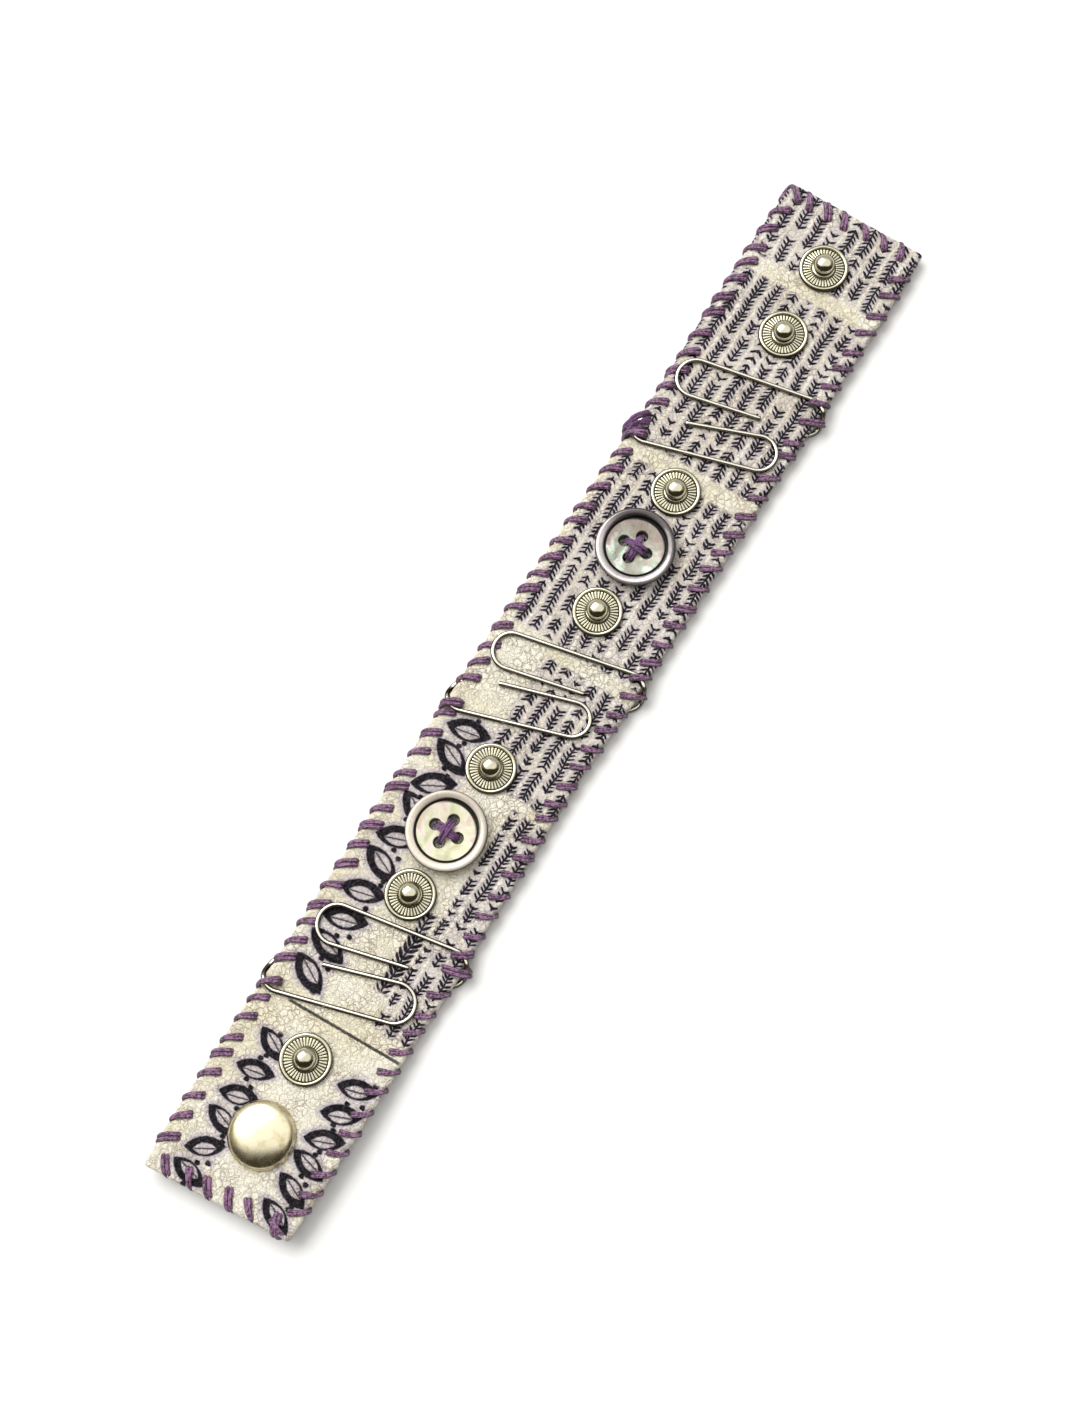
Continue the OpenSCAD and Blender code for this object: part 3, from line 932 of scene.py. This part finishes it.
stud_nickel = metal_material(
    "stud_nickel", linear(212, 208, 184), linear(176, 166, 132), 0.12, 0.3, (0.3, 0.75, 0.75),
)
# The third number of a point is painted shade with some tarnish: on the rim's outer and inner walls, on the
# plate between the ribs, round the ball's waist and on its lower side
stud_profile = [
    (0, 0.06), (4.45, 0.06), (4.72, 0.09, 1.0), (4.84, 0.25, 1.0), (4.85, 0.5, 1.0), (4.83, 0.66, 1.0),
    (4.75, 0.78, 0.9), *arc(4.4, 0.62, 0.38, 0.33, 48, 150, 10), (4.04, 0.66, 0.9), (4.0, 0.42, 1.0),
    (3.88, 0.4, 1.0), (2.5, 0.48, 0.95), (2.36, 0.56, 0.9), (2.3, 0.66, 0.5), (2.28, 0.86, 0.1),
    (2.2, 0.95, 0.0), (2.05, 1.0, 0.2), (1.86, 1.05, 0.8), (1.72, 1.2, 1.0), (1.7, 1.4, 0.7),
    (1.85, 1.62, 0.7), *arc(0, 2.02, stud_ball_r, 0.4, -50, 0, 5)[2:], (stud_ball_r, 2.25, 0.7),
    (2.11, 2.4, 0.6), (2.08, 2.54, 0.35), *arc(0, 2.25, stud_ball_r, 1.55, 16, 90, 16),
]
back_profile = [
    (0, -1.0), (2.8, -1.0), (3.3, -0.9), (3.85, -0.66), (4.28, -0.3), (4.3, -0.12), (4.2, -0.06), (0, -0.06),
]
rib = rib_mesh()
stud_body = bpy.data.objects.new("stud_body", lathed("stud_body", stud_profile))
stud_mesh = grown(stud_body, "stud", ribs_tree(), {"Rib": rib, "Count": rib_count, "Metal": stud_nickel})
bpy.data.objects.remove(rib)
stud_back_mesh = lathed("stud_back", back_profile)
for number in range(1, 8):
    x, y = middle_of(f"stud_back_{number}")
    face_x = x + leather_t * math.sin(face_tilt(x))
    stud = seated(stud_mesh.copy(), face_x, y)
    piece_from(stud, f"stud_{number}", stud_nickel, "nickel", f"press_stud_{number}")
    back = seated(stud_back_mesh.copy(), face_x, y, -leather_t)
    piece_from(back, f"stud_back_plate_{number}", stud_nickel, "nickel", f"stud_back_{number}")

# Snap cap and its socket
# A smooth satin nickel dome with its edge rolled under, clinched through the leather to the
# socket below, which is open at the bottom for a stud's ball.

cap_nickel = metal_material(
    "cap_nickel", linear(240, 231, 200), linear(200, 178, 122), 0.2, 0.8, (0.35, 0.85, 0.6),
)
cap_profile = [
    (0, 0.08), (5.6, 0.08), *arc(5.78, 0.45, 0.42, 0.37, -90, 50, 12), *arc(0, 0.86, 5.98, 1.74, 3, 90, 26),
]
cap_x, cap_y = middle_of("snap_cap")
dome = seated(lathed("cap_dome", cap_profile), cap_x, cap_y)
piece_from(dome, "cap_dome", cap_nickel, "satin_nickel", "snap_cap")
socket_gap = 0.05
socket_profile = [
    (0, -0.74), (2.3, -0.74), (2.4, -0.85), (2.4, -2.5), (2.5, -2.7), (2.72, -2.84), (3.3, -2.85),
    (3.8, -2.85), (4.15, -2.72), (4.38, -2.45), (4.55, -1.4), (4.7, -1.1), (5.0, -0.85), (5.2, -0.65),
    (5.2, -0.25), (5.1, -0.08), (4.9, 0.0), (0, 0.0),
]
socket = seated(lathed("socket_ring", socket_profile), cap_x, cap_y, -leather_t - socket_gap)
piece_from(socket, "socket_ring", stud_nickel, "nickel", "snap_socket")

# Buttons
# Two four-hole shell buttons turned from mother-of-pearl, one smoky grey and one pale, each with a
# raised rounded rim, a groove inside it painted dark as shade and a shallow dish, sewn on through its holes.

eye_r, eye_place = 1.0, 2.4
button_steps, eye_steps = 128, 48
button_profile = [
    (0, 0.06), (5.4, 0.06), (6.4, 0.28), (7.05, 0.62), (7.42, 1.05), (7.62, 1.5), (7.66, 1.85),
    (7.61, 2.15), (7.48, 2.4), (7.28, 2.54), (7.05, 2.58), (6.8, 2.54), (6.5, 2.45), (6.25, 2.35),
    (6.08, 2.24), (5.99, 2.1), (5.96, 1.78), (5.9, 1.64), (5.78, 1.6), (5.68, 1.66), (5.62, 1.84),
    (5.5, 1.94), (5.2, 1.93), (4.4, 1.83), (3.2, 1.72), (1.6, 1.64), (0, 1.62),
]
eye_profile = [(0, -1.0), (eye_r, -1.0), (eye_r, 1.35), (eye_r + 0.05, 1.5), (eye_r + 0.3, 1.85), (0, 1.85)]


def button_mesh(name, x, y):
    """A button with its four eyes drilled through."""
    body = bpy.data.objects.new(name, lathed(name, button_profile, button_steps))
    drills = []
    for step in range(4):
        turn = step * math.pi / 2
        drill = placed("drill", lathed("drill", eye_profile, eye_steps))
        reach = eye_place * mm
        drill.data.transform(Matrix.Translation((reach * math.cos(turn), reach * math.sin(turn), 0)))
        drills.append(drill)
        cut = body.modifiers.new("eye", "BOOLEAN")
        cut.operation = "DIFFERENCE"
        cut.solver = "EXACT"
        cut.object = drill
    mesh = solved(body, name)
    for drill in drills:
        bpy.data.objects.remove(drill)
    mesh.set_sharp_from_angle(angle=math.radians(40))
    return seated(mesh, x, y)


def shell_material(name, middle, rim, dish, lights, far_shade, gloss):
    """Polished shell: a cloudy dish with soft colours, with painted shade in the groove and eyes, on steep
    sides and the outer edge, and over the rim and dish towards one side.
    """
    material, tree, shader = new_material(name, Coat_Roughness=0.04, Specular_IOR_Level=0.2)
    place = object_mm(tree, middle)
    x, y, _ = place.parts()
    away = length_of(x, y)
    cloud = clouds(place, 0.16, 3.0, distortion=0.8)
    grain = clouds(place, 1.6, 5.0)
    bands = add_node(tree, "ShaderNodeValToRGB", {"Fac": ramp(cloud, 0.3, 0.7)})
    stops = bands.color_ramp.elements
    stops[0].color, stops[1].color = lights[0], lights[-1]
    for number, light in enumerate(lights[1:-1], 1):
        stops.new(number / (len(lights) - 1)).color = light
    outward = put(tree, "ShaderNodeVectorMath", {0: place}, operation="NORMALIZE")
    fan = ramp(clouds(outward, 5.0, 5.0), 0.35, 0.6, 0.25, 0.95)
    pearl = mixed(fan, dish, Flow(tree, bands.outputs["Color"]))
    # Painted shade falls towards the far side: it darkens the dish and the rim there, and lays a shadow band
    # in the groove
    far_side = x * 0.9 + y * -0.1
    pearl = mixed(ramp(cloud * 5.0 + far_side, -0.5, 6.0, 0.0, far_shade), pearl, dish)
    rim = mixed(grain * 0.3, rim, dish)
    rim = mixed(ramp(far_side, -3.5, 4.0, 0.0, far_shade), rim, linear(46, 41, 43))
    on_rim = ramp(away, 5.7, 5.9)
    # Painted shade: near black in the groove and the shadow band, inside the eyes, on steep sides seen
    # edge-on and along the outer edge, where coat and metal are also taken away
    groove = inside(away, 5.54, 6.0, 0.06)
    shadow = inside(away, 5.3, 6.2, 0.1) * ramp(far_side, 1.5, 5.0)
    to_eye = length_of(largest(abs(x), abs(y)) - eye_place, smallest(abs(x), abs(y)))
    eye = ramp(to_eye, eye_r, eye_r + 0.22, 0.8, 0.0)
    edge_shade = ramp(away, 7.38, 7.6, 0.0, 0.85)
    dark = largest(groove, shadow, eye, painted_side_shade(tree, 0.22, 0.52, 0.95), edge_shade)
    clear = ramp(dark, 0.0, 1.0, 1.0, 0.0)
    feed(
        shader, Base_Color=mixed(dark * 0.97, mixed(on_rim, pearl, rim), linear(14, 11, 12)),
        Coat_Weight=(on_rim * 0.6 + 0.2) * clear, Metallic=(on_rim * (gloss * 0.65) + gloss * 0.35) * clear,
        Roughness=ramp(grain, 0.3, 0.7, 0.24, 0.42), Normal=bumped(grain, 0.12, 0.05),
    )
    return material


grey_place, pale_place = middle_of("button_grey"), middle_of("button_pale")
grey_shell = shell_material(
    "grey_shell", (*grey_place, 0.0), linear(208, 202, 203), linear(140, 128, 118),
    [
        linear(150, 138, 128), linear(150, 164, 150), linear(204, 226, 204), linear(226, 208, 218),
        linear(160, 148, 140),
    ],
    0.9, 0.8,
)
pale_shell = shell_material(
    "pale_shell", (*pale_place, 0.0), linear(226, 214, 202), linear(204, 196, 172),
    [
        linear(170, 164, 130), linear(208, 216, 178), linear(228, 222, 204), linear(232, 208, 210),
        linear(192, 168, 138),
    ],
    0.3, 0.2,
)
piece_from(button_mesh("grey_button", *grey_place), "grey_button", grey_shell, "grey_shell", "button_grey")
piece_from(button_mesh("pale_button", *pale_place), "pale_button", pale_shell, "pale_shell", "button_pale")

# Sewn crosses in the buttons
# Finer purple thread, passed four times through each pair of opposite holes, so that it
# stands a little proud of the dish where the two bars cross.

cross_strand_d, cross_spread, bar_rise = 0.5, 0.36, 0.4
sewing = random.Random(11)


def cross_route(turn, aside, lift_up):
    """From under the button up through one hole, over the middle and down through the opposite hole."""
    # From the hole to the middle as [distance from the middle, height, how far aside]
    way_in = (
        (eye_place + 0.15, 0.9, 0.55), (eye_place - 0.05, 1.55, 0.7),
        (eye_place - 0.55, 2.0 + lift_up * 0.5, 0.9), (1.0, 2.1 + lift_up, 1.0),
    )
    stations = [(-run, z, spread) for run, z, spread in way_in]
    stations += [(0.0, 2.14 + lift_up, 1.0), *reversed(way_in)]
    route = []
    for run, z, spread in stations:
        side = aside * spread
        x = run * math.cos(turn) - side * math.sin(turn)
        route.append((x, run * math.sin(turn) + side * math.cos(turn), z))
    return route


for name, place, first_bar in (("grey", grey_place, 0.0), ("pale", pale_place, math.pi / 2)):
    routes = []
    for bar in (0, 1):
        turn = first_bar + bar * math.pi / 2
        for lane in (-1.5, -0.5, 0.5, 1.5):
            aside = lane * cross_spread + sewing.uniform(-0.07, 0.07)
            rise = bar * bar_rise + sewing.uniform(0.0, 0.26)
            routes.append(cross_route(turn + sewing.uniform(-0.13, 0.13), aside, rise))
    cross = seated(tube_mesh(f"{name}_button_thread", routes, cross_strand_d), *place)
    piece_from(cross, f"{name}_button_thread", tight_thread, "thread")

# Paper clips
# Three clips of drawn steel wire, bent flat on the face into two loops and hooked round both long
# edges of the strap, with one leg hidden behind it. Their spring and the stitches over them hold them.

wire_d, wire_gap, wire_sides = 0.9, 0.05, 16
# How many degrees of a hook's bend the wire takes to go from the face to the back
hook_span = 56
first_hook, last_hook = 2, 3
bend_steps = 30
# Bends of each clip in the order of the wire: [x, y, radius], clockwise where the radius is negative,
# and between its two ends, which have no radius
clip_bends = (
    (
        (-57.75, -6.4, 0), (-58.15, 9.0, -3.7), (-53.7, -12.45, -3.3),
        (-71.0, 12.5, 3.3), (-64.35, -7.8, 3.7), (-65.55, 7.1, 0),
    ),
    (
        (2.2, -6.0, 0), (2.05, 9.9, -3.5), (7.1, -12.25, -3.4),
        (-9.65, 12.9, 3.2), (-3.0, -6.8, 3.35), (-4.35, 8.4, 0),
    ),
    (
        (66.05, -5.6, 0), (66.65, 9.0, -3.8), (71.4, -12.7, -3.3),
        (53.2, 11.6, 3.0), (59.85, -9.0, 3.5), (57.85, 5.9, 0),
    ),
)


def heading_between(a, b):
    """Direction of the straight wire that touches two bends, from the first to the second."""
    run = math.hypot(b[0] - a[0], b[1] - a[1])
    return math.atan2(b[1] - a[1], b[0] - a[0]) - math.asin((b[2] - a[2]) / run)


def eased(share):
    share = min(1.0, max(0.0, share))
    return share * share * (3 - 2 * share)


def wire_point(x, y, under):
    """A point of the wire's middle: over the face, under the back, or on its way round the edge."""
    face = float(face_height(x))
    over = face + wire_gap + wire_d / 2
    below = face - leather_t - wire_gap - wire_d / 2
    return x, y, over * (1 - under) + below * under


def clip_route(bends):
    headings = [heading_between(bends[i], bends[i + 1]) for i in range(5)]
    route = [wire_point(*bends[0][:2], 0.0)]

    def run_to(x, y, under):
        """Follows a straight leg with a few stations, so that its ends shade evenly."""
        start_x, start_y = route[-1][:2]
        for share in (0.03, 0.1, 0.2, 0.3, 0.4, 0.5, 0.6, 0.7, 0.8, 0.9, 0.97):
            route.append(wire_point(start_x + share * (x - start_x), start_y + share * (y - start_y), under))

    for number in range(1, 5):
        x, y, r = bends[number]
        arc_start = headings[number - 1]
        sweep = (headings[number] - arc_start) % (2 * math.pi)
        if r < 0:
            sweep -= 2 * math.pi
        run_to(x + r * math.sin(arc_start), y - r * math.cos(arc_start), 1.0 if number == last_hook else 0.0)
        for step in range(bend_steps + 1):
            turn = sweep * step / bend_steps
            direction = arc_start + turn
            passed = eased(0.5 + math.degrees(abs(turn) - abs(sweep) / 2) / hook_span)
            under = {first_hook: passed, last_hook: 1 - passed}.get(number, 0.0)
            route.append(wire_point(x + r * math.sin(direction), y - r * math.cos(direction), under))
    run_to(*bends[5][:2], 0.0)
    route.append(wire_point(*bends[5][:2], 0.0))
    return route


def wire_mesh(name, route):
    """A round wire along a route, with slightly rounded cut ends."""
    path = np.array(route)
    reach = np.gradient(path, axis=0)
    reach /= np.linalg.norm(reach, axis=1)[:, None]
    side = np.cross([0, 0, 1], reach)
    side /= np.linalg.norm(side, axis=1)[:, None]
    down = np.cross(side, reach)
    points = []
    # Each ring is [how far back, size]. The two ends have a smaller ring outside their own
    ends = {0: ((0.12, 0.7), (0.0, 1.0)), len(path) - 1: ((0.0, 1.0), (-0.12, 0.7))}
    for index, centre in enumerate(path):
        for back, size in ends.get(index, ((0.0, 1.0),)):
            for step in range(wire_sides):
                turn = 2 * math.pi * step / wire_sides
                spoke = math.cos(turn) * side[index] + math.sin(turn) * down[index]
                points.append((centre - back * reach[index] + size * wire_d / 2 * spoke) * mm)
    return mesh_of(name, points, ring_faces(len(points) // wire_sides, wire_sides))


clip_steel = metal_material(
    "clip_steel", linear(232, 228, 214), linear(184, 176, 154), 0.15, 0.2, (0.05, 0.36, 0.95),
)
for number, bends in enumerate(clip_bends, 1):
    wire = wire_mesh(f"clip_wire_{number}", clip_route(bends))
    piece_from(wire, f"clip_wire_{number}", clip_steel, "steel_wire", f"paper_clip_{number}")

# Studio
# A plain pale floor, a broad soft light from the far left as in the photo, a weaker one from the near
# side, a bright panel overhead for the metal to mirror, and the camera above and a little to one side.

floor_half = 8.0
floor_corners = [(x * floor_half, y * floor_half, 0) for x, y in ((-1, -1), (1, -1), (1, 1), (-1, 1))]
floor = placed("floor", mesh_of("floor", floor_corners, [(0, 1, 2, 3)]))
floor_material, _, _ = new_material("floor_paper", Base_Color=(0.9, 0.9, 0.9, 1.0), Roughness=0.9)
floor.data.materials.append(floor_material)


def soft_light(name, place, size, power, colour, mirrored):
    light = bpy.data.lights.new(name, "AREA")
    light.shape = "RECTANGLE"
    light.size, light.size_y = size
    light.energy = power
    light.color = colour
    lamp = placed(name, light)
    lamp.location = place
    lamp.rotation_euler = (-Vector(place)).to_track_quat("-Z", "Y").to_euler()
    lamp.visible_glossy = mirrored


soft_light("key", (0.22, 0.8, 1.1), (1.3, 0.8), 17.6, (1.0, 0.985, 0.95), True)
soft_light("fill", (-1.1, -0.3, 1.0), (0.7, 0.7), 2.9, (0.96, 0.98, 1.0), False)


def room_light():
    """A broad bright panel overhead, dark warm walls on the near side and pale ones on the far side."""
    world = bpy.data.worlds.new("room")
    world.use_nodes = True
    tree = world.node_tree
    heading = put(tree, "ShaderNodeTexCoord", take="Generated")
    _, _, up = heading.parts()
    across, away = [
        put(tree, "ShaderNodeVectorMath", {0: heading, 1: way}, "Value", operation="DOT_PRODUCT")
        for way in ((0.54, -0.84, 0.0), (0.85, 0.53, 0.0))
    ]
    walls = mixed(ramp(away, -0.3, 0.1), (0.035, 0.027, 0.015, 1.0), (0.2, 0.17, 0.1, 1.0))
    walls = mixed(ramp(away, 0.2, 0.7), walls, (0.5, 0.5, 0.5, 1.0))
    walls = mixed(ramp(up, 0.06, 0.1), (0.6, 0.6, 0.6, 1.0), walls)
    wide, deep = across / 0.78, (away - 0.14) / 0.58
    panel = ramp(wide * wide + deep * deep, 0.85, 1.15, 1.0, 0.0) * ramp(away, -0.34, -0.26)
    seen = mixed(panel * ramp(up, 0.16, 0.3), walls, (1.05, 1.04, 1.01, 1.0))
    background = tree.nodes["Background"].inputs
    feed(background, Color=seen)
    background["Strength"].default_value = 1.15
    return world


bpy.context.scene.world = room_light()

camera = bpy.data.cameras.new("camera")
camera.sensor_width = 36.0
camera.lens = 49.31
camera.clip_start, camera.clip_end = 0.01, 20.0
viewer = placed("camera", camera)
right = Vector((0.53869, -0.84157, -0.03965))
up = Vector((0.8262, 0.51847, 0.22043))
look = Vector((0.16495, 0.1515, -0.9746))
turn = Matrix((right, up, -look)).transposed().to_4x4()
viewer.matrix_world = Matrix.Translation((-0.06577, -0.0556, 0.35803)) @ turn
bpy.context.scene.camera = viewer
bpy.context.scene.view_settings.view_transform = "Standard"
